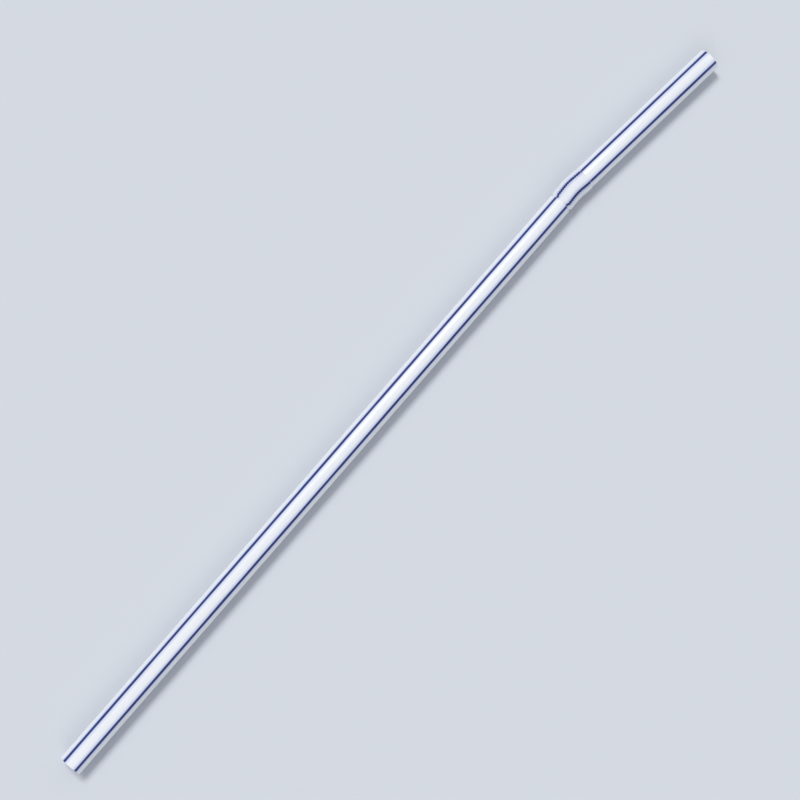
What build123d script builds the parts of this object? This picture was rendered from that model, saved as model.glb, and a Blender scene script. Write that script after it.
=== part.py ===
from build123d import *
import math
import os

# A flexible drinking straw: one piece of thin-walled plastic tube. Near the mouth end its wall is
# pleated into a bellows, which is pushed together as packed and bent a few degrees to one side.
# The straw lies on a flat surface, with the bend in a level plane.

# Driving dimensions, in millimetres and degrees
tube_diameter = 5.0  # outside of both plain lengths
wall = 0.17
lower_length = 152.0  # plain length that stands in the drink
mouth_length = 37.6  # plain length past the bellows
crest_diameter = 5.3  # outside of the bellows
pleat_count = 13
pleat_depth = 0.6  # from root to crest, at the middle of the wall
flank_angle = 36.5  # between the axis and the long flank of a pleat
flank_gap = 0.14  # slot left between nested flanks
bend_angle = 5.2
bellows_offset = 0.2  # how far the middle pleats stand off to the outside of the bend
edge_flats = 3  # flats that round each fold edge

half_wall = wall / 2
tube_middle = tube_diameter / 2 - half_wall
crest_middle = crest_diameter / 2 - half_wall
root_middle = crest_middle - pleat_depth
slope = math.tan(math.radians(flank_angle))
lean = pleat_depth / slope  # how far a crest lies ahead of the root that it rises from
pitch = (wall + flank_gap) / math.sin(math.radians(flank_angle))


def wall_path():
    # The middle of the wall as (distance from the lower end, radius). From each root a long flank
    # rises forwards to the crest. A short flank folds back under it to the next root, which lies
    # behind that crest, so every pleat nests in the next one. The first root is a plain step down.
    path = [Vector(0, tube_middle), Vector(lower_length, tube_middle)]
    for pleat in range(pleat_count):
        root = lower_length + pleat * pitch
        path.append(Vector(root, root_middle))
        path.append(Vector(root + lean, crest_middle))
    last_root = lower_length + pleat_count * pitch
    shoulder = last_root + (tube_middle - root_middle) / slope
    path.append(Vector(last_root, root_middle))
    path.append(Vector(shoulder, tube_middle))
    path.append(Vector(shoulder + mouth_length, tube_middle))
    return path


def wall_face(path, side):
    # The outer face of the wall for side 1 and the inner face for side -1, half a wall from the
    # path. A fold edge that stands out on that side is rounded, and a hollow one is sharp.
    square = [(end - start).normalized().rotate(Axis.Z, 90 * side) for start, end in zip(path, path[1:])]
    face = [path[0] + square[0] * half_wall]
    for corner, before, after in zip(path[1:], square, square[1:]):
        turn = before.get_signed_angle(after, Axis.Z.direction)
        if turn * side < 0:
            for flat in range(edge_flats + 1):
                spoke = before.rotate(Axis.Z, turn * flat / edge_flats)
                face.append(corner + spoke * half_wall)
        else:
            reach = half_wall / math.cos(math.radians(turn / 2))
            face.append(corner + (before + after).normalized() * reach)
    face.append(path[-1] + square[-1] * half_wall)
    return face


# The centre line: the plain lengths are straight and the bellows takes the whole bend.
path = wall_path()
bellows_length = path[-2].X - lower_length
lower_line = Line((0, 0), (lower_length, 0))
bend_radius = bellows_length / math.radians(bend_angle)
bellows_line = JernArc(lower_line @ 1, lower_line % 1, bend_radius, -bend_angle)
mouth_line = Line(bellows_line @ 1, bellows_line @ 1 + (bellows_line % 1) * mouth_length)
centre_line = Wire([lower_line, bellows_line, mouth_line])


def ring(point):
    # The circle that a point of the wall draws around the centre line, square to it.
    centre = centre_line.position_at(point.X, position_mode=PositionMode.LENGTH)
    along = centre_line.tangent_at(point.X, position_mode=PositionMode.LENGTH)
    share = min(max((point.X - lower_length) / bellows_length, 0), 1)
    centre += along.rotate(Axis.Z, 90) * bellows_offset * math.sin(math.pi * share) ** 2
    return Wire.make_circle(point.Y, Plane(centre, x_dir=(0, 0, 1), z_dir=along))


# The wall is skinned from ring to ring, out along its outer face and back along its inner face, and
# closes on itself at the lower end.
rings = [ring(point) for point in wall_face(path, 1) + wall_face(path, -1)[::-1]]
straw = Solid.make_loft([*rings, rings[0]], ruled=True)

# The origin is the middle of the straw's footprint, on the surface that it lies on.
box = straw.bounding_box()
straw = Pos(-box.center().X, -box.center().Y, -box.min.Z) * straw

os.makedirs("parts", exist_ok=True)
export_step(straw, "parts/straw.step")
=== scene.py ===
import math

import bmesh
import bpy
from mathutils import Matrix, Vector


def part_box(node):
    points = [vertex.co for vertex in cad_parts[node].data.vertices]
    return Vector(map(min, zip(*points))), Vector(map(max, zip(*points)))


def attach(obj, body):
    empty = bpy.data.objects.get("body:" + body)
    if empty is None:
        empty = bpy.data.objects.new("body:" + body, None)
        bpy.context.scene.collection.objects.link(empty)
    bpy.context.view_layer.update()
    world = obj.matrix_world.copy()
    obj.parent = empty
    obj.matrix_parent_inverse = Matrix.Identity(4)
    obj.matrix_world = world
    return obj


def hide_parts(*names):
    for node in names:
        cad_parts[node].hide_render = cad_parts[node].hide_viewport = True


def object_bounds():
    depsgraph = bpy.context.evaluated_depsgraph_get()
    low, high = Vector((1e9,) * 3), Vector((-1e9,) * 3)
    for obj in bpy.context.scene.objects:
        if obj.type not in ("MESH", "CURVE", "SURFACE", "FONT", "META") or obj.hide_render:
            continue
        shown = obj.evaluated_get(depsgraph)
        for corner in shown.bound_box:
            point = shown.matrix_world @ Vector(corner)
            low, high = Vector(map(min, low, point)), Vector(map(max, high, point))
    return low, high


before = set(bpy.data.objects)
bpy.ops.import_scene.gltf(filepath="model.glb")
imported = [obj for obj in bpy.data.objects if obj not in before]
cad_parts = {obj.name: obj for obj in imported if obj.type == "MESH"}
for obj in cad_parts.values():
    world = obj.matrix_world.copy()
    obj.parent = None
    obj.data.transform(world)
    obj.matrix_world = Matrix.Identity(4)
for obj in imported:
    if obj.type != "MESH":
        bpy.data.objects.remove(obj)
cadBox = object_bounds()
mm = 0.001


def linear(hexColour):  # an sRGB hex value as the linear colour that shaders take
    channels = [int(hexColour[i:i + 2], 16) / 255 for i in (1, 3, 5)]
    turned = [c / 12.92 if c <= 0.04045 else ((c + 0.055) / 1.055) ** 2.4 for c in channels]
    return (*turned, 1.0)


def addNode(tree, kind, inputs={}, **settings):  # an input takes a value or another node's output
    node = tree.nodes.new("ShaderNode" + kind)
    for name, value in settings.items():
        setattr(node, name, value)
    for name, value in inputs.items():
        if isinstance(value, bpy.types.NodeSocket):
            tree.links.new(value, node.inputs[name])
        else:
            node.inputs[name].default_value = value
    return node


def newMaterial(name):
    material = bpy.data.materials.new(name)
    material.use_nodes = True
    return material, material.node_tree, material.node_tree.nodes["Principled BSDF"]


# The straw: one thin-walled tube with a pleated bellows near its mouth end. Millimetres and degrees.
straw = {
    "tubeDiameter": 5.0,
    "wall": 0.17,
    "lowerLength": 152.0,  # plain length that stands in the drink
    "mouthLength": 37.6,  # plain length past the bellows
    "crestDiameter": 5.3,
    "pleats": 13,
    "pleatDepth": 0.6,  # root to crest, at the middle of the wall
    "flankAngle": 36.5,  # between the axis and a pleat's long flank
    "flankGap": 0.14,  # slot between nested flanks
    "bendAngle": 5.2,
    "bellowsOffset": 0.2,  # how far the middle pleats stand off to the outside of the bend
    "foldRound": 0.45,  # how far the rounding of a fold reaches down its flanks
    "foldSegments": 5,
    "cutRound": 0.03,  # the soft edge of the cut ends
    "cutSegments": 2,
    "stepsRound": 96,
    "sharpAngle": 50,  # an edge that turns more than this is shaded sharp
}
halfWall = straw["wall"] / 2
tubeMiddle = straw["tubeDiameter"] / 2 - halfWall
crestMiddle = straw["crestDiameter"] / 2 - halfWall
rootMiddle = crestMiddle - straw["pleatDepth"]
slope = math.tan(math.radians(straw["flankAngle"]))
lean = straw["pleatDepth"] / slope  # how far a crest lies ahead of the root that it rises from
pitch = (straw["wall"] + straw["flankGap"]) / math.sin(math.radians(straw["flankAngle"]))


def wallPath():  # the middle of the wall, as distance along and radius
    bellowsStart = straw["lowerLength"]
    path = [(0, tubeMiddle), (bellowsStart, tubeMiddle)]
    for pleat in range(straw["pleats"]):
        root = bellowsStart + pleat * pitch
        path += [(root, rootMiddle), (root + lean, crestMiddle)]
    lastRoot = bellowsStart + straw["pleats"] * pitch
    shoulder = lastRoot + (tubeMiddle - rootMiddle) / slope
    path += [(lastRoot, rootMiddle), (shoulder, tubeMiddle), (shoulder + straw["mouthLength"], tubeMiddle)]
    return [Vector(point) for point in path]


def wallFace(path, side):
    # The outer face of the wall for side 1, the inner face for side -1. Its corners are mitred, and
    # each comes with whether it stands out, and so gets rounded.
    ahead = [(b - a).normalized() for a, b in zip(path, path[1:])]
    square = [Vector((-d.y, d.x)) * side for d in ahead]
    corners = [(path[0] + square[0] * halfWall, False)]
    for corner, before, after in zip(path[1:], square, square[1:]):
        mitre = (before + after).normalized()
        standsOut = before.cross(after) * side < 0
        corners.append((corner + mitre * halfWall / mitre.dot(before), standsOut))
    corners.append((path[-1] + square[-1] * halfWall, False))
    return corners


def drawSection(bm, path, insideWall):
    # The wall cut open lengthwise, as one face above the axis, with its folds and cut edges rounded.
    outer, inner = wallFace(path, 1), wallFace(path, -1)[::-1]
    outline = outer + inner
    section = bm.faces.new([bm.verts.new((point.x, 0, point.y)) for point, _ in outline])
    for vert in section.verts[len(outer):]:
        vert[insideWall] = 1
    folds = [vert for vert, (_, standsOut) in zip(section.verts, outline) if standsOut]
    ends = [vert for vert in section.verts if vert.co.x in (0, path[-1].x)]
    bmesh.ops.bevel(bm, geom=folds, offset=straw["foldRound"], offset_type="OFFSET", affect="VERTICES",
                    segments=straw["foldSegments"], profile=0.5, material=-1)
    bmesh.ops.bevel(bm, geom=ends, offset=straw["cutRound"], offset_type="OFFSET", affect="VERTICES",
                    segments=straw["cutSegments"], profile=0.5, material=-1)


def measureRound(bm, insideWall, walked):
    # How far each point lies along the section's outline: out along the outer face and back along the
    # inner one. Returns the whole way round.
    bm.faces.ensure_lookup_table()
    loops = list(bm.faces[0].loops)
    start = next(i for i, loop in enumerate(loops)
                 if loop.vert[insideWall] < 0.5 < loops[i - 1].vert[insideWall])
    verts = [loop.vert for loop in loops[start:] + loops[:start]]
    way = 0
    for vert, following in zip(verts, verts[1:] + verts[:1]):
        vert[walked] = way
        way += (following.co - vert.co).length
    return way


def overTheSeam(shares):  # a face that crosses the seam keeps its corners side by side
    return [share + 1 if max(shares) - share > 0.5 else share for share in shares]


def unroll(bm, walked, way):
    # The wall laid flat on a map. The outer face fills the lower half of the map and the inner
    # face its upper half, each with its length across the map.
    margin, across, upwards, upperHalf = 0.01, 0.97, 0.48, 0.5
    quarterStep = 0.25 / straw["stepsRound"]  # keeps the seam clear of the points
    flat = bm.loops.layers.uv.new("OFBake")
    for face in bm.faces:
        along = overTheSeam([loop.vert[walked] / way for loop in face.loops])
        turns = [math.atan2(loop.vert.co.y, loop.vert.co.z) / math.tau + 0.5 for loop in face.loops]
        turns = overTheSeam([(turn + quarterStep) % 1 for turn in turns])
        inner = sum(along) > len(along) / 2
        for loop, share, turn in zip(face.loops, along, turns):
            out = 2 * (1 - share) if inner else 2 * share
            low = margin + (upperHalf if inner else 0)
            loop[flat].uv = (margin + across * out, low + upwards * turn)


def bendInPlace(bm, bellowsStart, bellowsLength):
    # The lower length stays straight along X. The bellows turns evenly, and carries the mouth length.
    turn = math.radians(straw["bendAngle"])
    bendRadius = bellowsLength / turn
    for vert in bm.verts:
        along, aside, up = vert.co
        past = min(max(along - bellowsStart, 0), bellowsLength)
        angle = past / bendRadius
        ahead = Vector((math.cos(angle), -math.sin(angle), 0))
        outwards = Vector((math.sin(angle), math.cos(angle), 0))
        centre = Vector((bendRadius * math.sin(angle), bendRadius * (math.cos(angle) - 1), 0))
        centre += ahead * (along - bellowsStart - past)
        aside += straw["bellowsOffset"] * math.sin(math.pi * past / bellowsLength) ** 2
        vert.co = centre + outwards * aside + Vector((0, 0, up))


def moveToFrame(bm):  # scaled to metres, with the middle of its box on that of the CAD node
    bmesh.ops.scale(bm, vec=(mm, mm, mm), verts=bm.verts)
    low = Vector([min(v.co[i] for v in bm.verts) for i in range(3)])
    high = Vector([max(v.co[i] for v in bm.verts) for i in range(3)])
    cadLow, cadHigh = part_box("straw")
    bmesh.ops.translate(bm, vec=(cadLow + cadHigh) / 2 - (low + high) / 2, verts=bm.verts)


def makeStraw():
    path = wallPath()
    bm = bmesh.new()
    insideWall = bm.verts.layers.float.new("insideWall")  # 0 on the outer face, 1 on the inner face
    walked = bm.verts.layers.float.new("walked")  # millimetres along the outline of the section
    drawSection(bm, path, insideWall)
    way = measureRound(bm, insideWall, walked)
    bmesh.ops.delete(bm, geom=bm.faces[:], context="FACES_ONLY")
    bmesh.ops.spin(bm, geom=bm.edges[:], cent=(0, 0, 0), axis=(1, 0, 0), angle=math.tau,
                   steps=straw["stepsRound"], use_merge=True)
    bmesh.ops.remove_doubles(bm, verts=bm.verts, dist=1e-5)
    bmesh.ops.recalc_face_normals(bm, faces=bm.faces)
    unroll(bm, walked, way)

    # the stripes were drawn out with the tube, so they follow its straight shape, kept in millimetres
    straight = bm.verts.layers.float_vector.new("straightPlace")
    for vert in bm.verts:
        vert[straight] = vert.co
    bendInPlace(bm, straw["lowerLength"], path[-2].x - straw["lowerLength"])
    moveToFrame(bm)

    mesh = bpy.data.meshes.new("drinkingStraw")
    bm.to_mesh(mesh)
    bm.free()
    mesh.shade_smooth()
    mesh.set_sharp_from_angle(angle=math.radians(straw["sharpAngle"]))
    piece = bpy.data.objects.new("drinkingStraw", mesh)
    bpy.context.scene.collection.objects.link(piece)
    return piece


# Extruded polypropylene with a little white pigment. The thin wall lets some light through, so the
# tube looks milky and has no hard shade. The die leaves a semi-gloss skin with faint lengthwise lines.
# The stripes are a second colour drawn out in the same wall, so they have soft edges. Millimetres.
finish = {
    "white": "#f5f7fc",
    "shade": "#edf0f9",  # where the wall is a touch thicker
    "navy": "#1d2d74",
    "navyThin": "#293a84",  # where the colour is a touch thinner
    "paintedScatterTint": "#c4cded",  # painted light: the tint that light scattered through the stripe into the milky wall gives the white beside it
    "paintedScatterWidth": 0.8,
    "paintedScatterStrength": 0.75,  # at the edge of the stripe
    "stripes": 5,
    "stripeRoll": 6.5,  # how far the straw is rolled over, in degrees
    "stripeWidth": 0.6,
    "stripeSoftness": 0.07,
    "stripeWander": 0.05,  # how far a stripe's edge strays
    "wanderSize": (8.0, 1.6, 1.6),  # along the tube and across it
    "stripeInside": 0.5,  # how much of a stripe shows on the inside, through the white under it
    "cloudSize": (20.0, 0.8, 0.8),  # clouding of the pigment, drawn out lengthwise
    "dieLineSize": (11.0, 0.22, 0.22),  # the real lines are finer and wouldn't show
    "dieLineDepth": 0.02,
    "dieLineStrength": 0.25,
    "roughness": (0.24, 0.4),  # between the die lines and on them
    "ior": 1.49,
    "milkiness": 0.5,  # share of the light that goes into the wall
    "lightReach": 0.2,  # how far it spreads in there
    "lightRadius": (1.0, 1.0, 1.1),  # the same for red, green and blue, as shares of that reach
}


def coextrudedPolypropylene():
    material, tree, shader = newMaterial("coextrudedPolypropylene")
    place = addNode(tree, "Attribute", attribute_name="straightPlace").outputs["Vector"]

    # distance round the tube from the nearest stripe's middle
    stripePitch = math.pi * straw["tubeDiameter"] / finish["stripes"]
    perRadian = finish["stripes"] / math.tau
    roll = math.radians(finish["stripeRoll"])
    parts = addNode(tree, "SeparateXYZ", {"Vector": place}).outputs
    fromTop = addNode(tree, "Math", {0: parts["Y"], 1: parts["Z"]}, operation="ARCTAN2").outputs[0]
    rolled = addNode(tree, "Math", {0: fromTop, 1: roll}, operation="ADD").outputs[0]
    steps = addNode(tree, "Math", {0: rolled, 1: perRadian}, operation="MULTIPLY").outputs[0]
    share = addNode(tree, "Math", {0: steps}, operation="FRACT").outputs[0]
    centred = addNode(tree, "Math", {0: share, 1: 0.5}, operation="SUBTRACT").outputs[0]
    apart = addNode(tree, "Math", {0: centred}, operation="ABSOLUTE").outputs[0]
    distance = addNode(tree, "Math", {0: apart, 1: stripePitch}, operation="MULTIPLY").outputs[0]

    # three uneven patterns, each with grains of its own size
    patterns = {}
    for name, detail in (("wander", 2.0), ("cloud", 4.0), ("dieLine", 3.0)):
        scale = [1 / size for size in finish[name + "Size"]]
        scaled = addNode(tree, "Mapping", {"Vector": place, "Scale": scale}).outputs[0]
        patterns[name] = addNode(tree, "TexNoise", {
            "Vector": scaled, "Scale": 1.0, "Detail": detail}).outputs["Fac"]

    # the stripe's edge wanders a little along the length, and the white beside it gets a painted tint that
    # stands in for light scattered from the stripe through the wall
    stray, soft, half = finish["stripeWander"], finish["stripeSoftness"], finish["stripeWidth"] / 2
    shift = addNode(tree, "MapRange", {
        "Value": patterns["wander"], "To Min": -stray, "To Max": stray}).outputs[0]
    edge = addNode(tree, "Math", {0: distance, 1: shift}, operation="ADD").outputs[0]
    inStripe = addNode(tree, "MapRange", {
        "Value": edge, "From Min": half - soft, "From Max": half + soft,
        "To Min": 1.0, "To Max": 0.0}, interpolation_type="SMOOTHSTEP").outputs[0]
    inPaintedScatter = addNode(tree, "MapRange", {
        "Value": edge, "From Min": half, "From Max": half + finish["paintedScatterWidth"],
        "To Min": finish["paintedScatterStrength"], "To Max": 0.0}, interpolation_type="SMOOTHSTEP").outputs[0]

    # the stripe is fainter on the inside
    inside = addNode(tree, "Attribute", attribute_name="insideWall").outputs["Fac"]
    showing = addNode(tree, "MapRange", {
        "Value": inside, "To Min": 1.0, "To Max": finish["stripeInside"]}).outputs[0]
    painted = addNode(tree, "Math", {0: inStripe, 1: showing}, operation="MULTIPLY").outputs[0]

    cloud = patterns["cloud"]
    white, shade, navy = linear(finish["white"]), linear(finish["shade"]), linear(finish["navy"])
    navyThin, paintedScatterTint = linear(finish["navyThin"]), linear(finish["paintedScatterTint"])
    body = addNode(tree, "Mix", {"Factor": cloud, 6: white, 7: shade}, data_type="RGBA").outputs[2]
    # painted light: the white beside each stripe is tinted towards the stripe, for light scattered through
    # it
    withPaintedScatter = addNode(tree, "Mix", {"Factor": inPaintedScatter, 6: body, 7: paintedScatterTint}, data_type="RGBA").outputs[2]
    ink = addNode(tree, "Mix", {"Factor": cloud, 6: navy, 7: navyThin}, data_type="RGBA").outputs[2]
    colour = addNode(tree, "Mix", {"Factor": painted, 6: withPaintedScatter, 7: ink}, data_type="RGBA").outputs[2]

    # the die's lines stand up a little, and are less glossy than the skin between them
    bump = addNode(tree, "Bump", {
        "Height": patterns["dieLine"], "Strength": finish["dieLineStrength"],
        "Distance": finish["dieLineDepth"] * mm}).outputs[0]
    smooth, rough = finish["roughness"]
    gloss = addNode(tree, "MapRange", {
        "Value": patterns["dieLine"], "To Min": smooth, "To Max": rough}).outputs[0]

    for socket, value in (("Base Color", colour), ("Roughness", gloss), ("Normal", bump)):
        tree.links.new(value, shader.inputs[socket])
    shader.inputs["IOR"].default_value = finish["ior"]
    shader.inputs["Subsurface Weight"].default_value = finish["milkiness"]
    shader.inputs["Subsurface Scale"].default_value = finish["lightReach"] * mm
    shader.inputs["Subsurface Radius"].default_value = finish["lightRadius"]
    return material


strawPiece = makeStraw()
strawPiece.data.materials.append(coextrudedPolypropylene())
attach(strawPiece, "root")
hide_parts("straw")
print("straw made:", len(strawPiece.data.polygons), "faces")


# A plain pale board under soft studio light.
stage = {
    "board": "#d4d8de",
    "boardSize": 3.0,
    "grainSize": 1.1 * mm,  # left by the roller's nap
    "grainDepth": 0.05 * mm,
    "keyFrom": (0.14, 0.4, 0.85),  # off to one side, so that the tube gets a highlight and a soft shadow
    "keySpread": 20.0,  # how wide the light is seen from the straw, in degrees
    "keyStrength": 1.7,
    "fillFrom": (-0.5, -0.5, 0.6),
    "fillSpread": 40.0,
    "fillStrength": 0.45,
    "sky": "#eef1f6",
    "skyStrength": 0.5,
}


def mattePaintedBoard():  # emulsion paint, rolled on: flat, with no gloss and a faint grain
    material, tree, shader = newMaterial("mattePaintedBoard")
    place = addNode(tree, "TexCoord").outputs["Object"]
    grain = addNode(tree, "TexNoise", {
        "Vector": place, "Scale": 1 / stage["grainSize"], "Detail": 2.0}).outputs["Fac"]
    bump = addNode(tree, "Bump", {
        "Height": grain, "Strength": 0.05, "Distance": stage["grainDepth"]}).outputs[0]
    tree.links.new(bump, shader.inputs["Normal"])
    shader.inputs["Base Color"].default_value = linear(stage["board"])
    shader.inputs["Roughness"].default_value = 0.9
    shader.inputs["Specular IOR Level"].default_value = 0.1
    return material


def makeStage():
    bm = bmesh.new()
    bmesh.ops.create_grid(bm, x_segments=1, y_segments=1, size=stage["boardSize"] / 2)
    mesh = bpy.data.meshes.new("board")
    bm.to_mesh(mesh)
    bm.free()
    board = bpy.data.objects.new("board", mesh)
    bpy.context.scene.collection.objects.link(board)
    mesh.materials.append(mattePaintedBoard())


def addSoftLight(name, comesFrom, spread, strength):  # far away, so that the board is lit evenly
    light = bpy.data.lights.new(name, "SUN")
    light.angle = math.radians(spread)
    light.energy = strength
    lamp = bpy.data.objects.new(name, light)
    lamp.rotation_euler = (-Vector(comesFrom)).to_track_quat("-Z", "Y").to_euler()
    bpy.context.scene.collection.objects.link(lamp)


def makeStudio():
    # The sky is the light. What is seen of it, straight or in a gloss, has the board's colour.
    world = bpy.data.worlds.new("studio")
    bpy.context.scene.world = world
    world.use_nodes = True
    tree = world.node_tree
    sky = tree.nodes["Background"]
    sky.inputs["Color"].default_value = linear(stage["sky"])
    sky.inputs["Strength"].default_value = stage["skyStrength"]
    backdrop = addNode(tree, "Background", {"Color": linear(stage["board"]), "Strength": 1.0}).outputs[0]
    ray = addNode(tree, "LightPath").outputs
    seen = addNode(tree, "Math", {
        0: ray["Is Camera Ray"], 1: ray["Is Glossy Ray"]}, operation="MAXIMUM").outputs[0]
    seen = addNode(tree, "Math", {
        0: seen, 1: ray["Is Transmission Ray"]}, operation="MAXIMUM").outputs[0]
    mixed = addNode(tree, "MixShader", {0: seen, 1: sky.outputs[0], 2: backdrop}).outputs[0]
    tree.links.new(mixed, tree.nodes["World Output"].inputs["Surface"])


makeStage()
makeStudio()
addSoftLight("keyLight", stage["keyFrom"], stage["keySpread"], stage["keyStrength"])
addSoftLight("fillLight", stage["fillFrom"], stage["fillSpread"], stage["fillStrength"])
bpy.context.scene.view_settings.view_transform = "Standard"
print("stage made")


# The camera looks down on the straw, which runs from the lower left to the upper right of the picture.
cameraSet = {
    "lens": 85,
    "elevation": 80.0,
    "lowerLengthSlant": 49.4,  # of the lower length in the picture, above level
    "strawShare": 1.2,  # of the picture's width that the straw's whole length takes
    "nearest": 0.01,  # what is closer than this isn't drawn
}


def addCamera():
    low, high = cadBox
    slant = math.radians(cameraSet["lowerLengthSlant"])
    rise = math.radians(cameraSet["elevation"])
    right = Vector((math.cos(slant), -math.sin(slant), 0))
    ahead = Vector((math.sin(slant), math.cos(slant), 0))
    back = -ahead * math.cos(rise) + Vector((0, 0, math.sin(rise)))
    camera = bpy.data.objects.new("camera", bpy.data.cameras.new("camera"))
    camera.data.lens = cameraSet["lens"]
    camera.data.clip_start = cameraSet["nearest"]
    seen = (high.x - low.x) / cameraSet["strawShare"]
    away = seen * camera.data.lens / camera.data.sensor_width
    turned = Matrix((right, back.cross(right), back)).transposed().to_4x4()
    camera.matrix_world = Matrix.Translation((low + high) / 2 + back * away) @ turned
    bpy.context.scene.collection.objects.link(camera)
    bpy.context.scene.camera = camera


addCamera()
print("camera made")
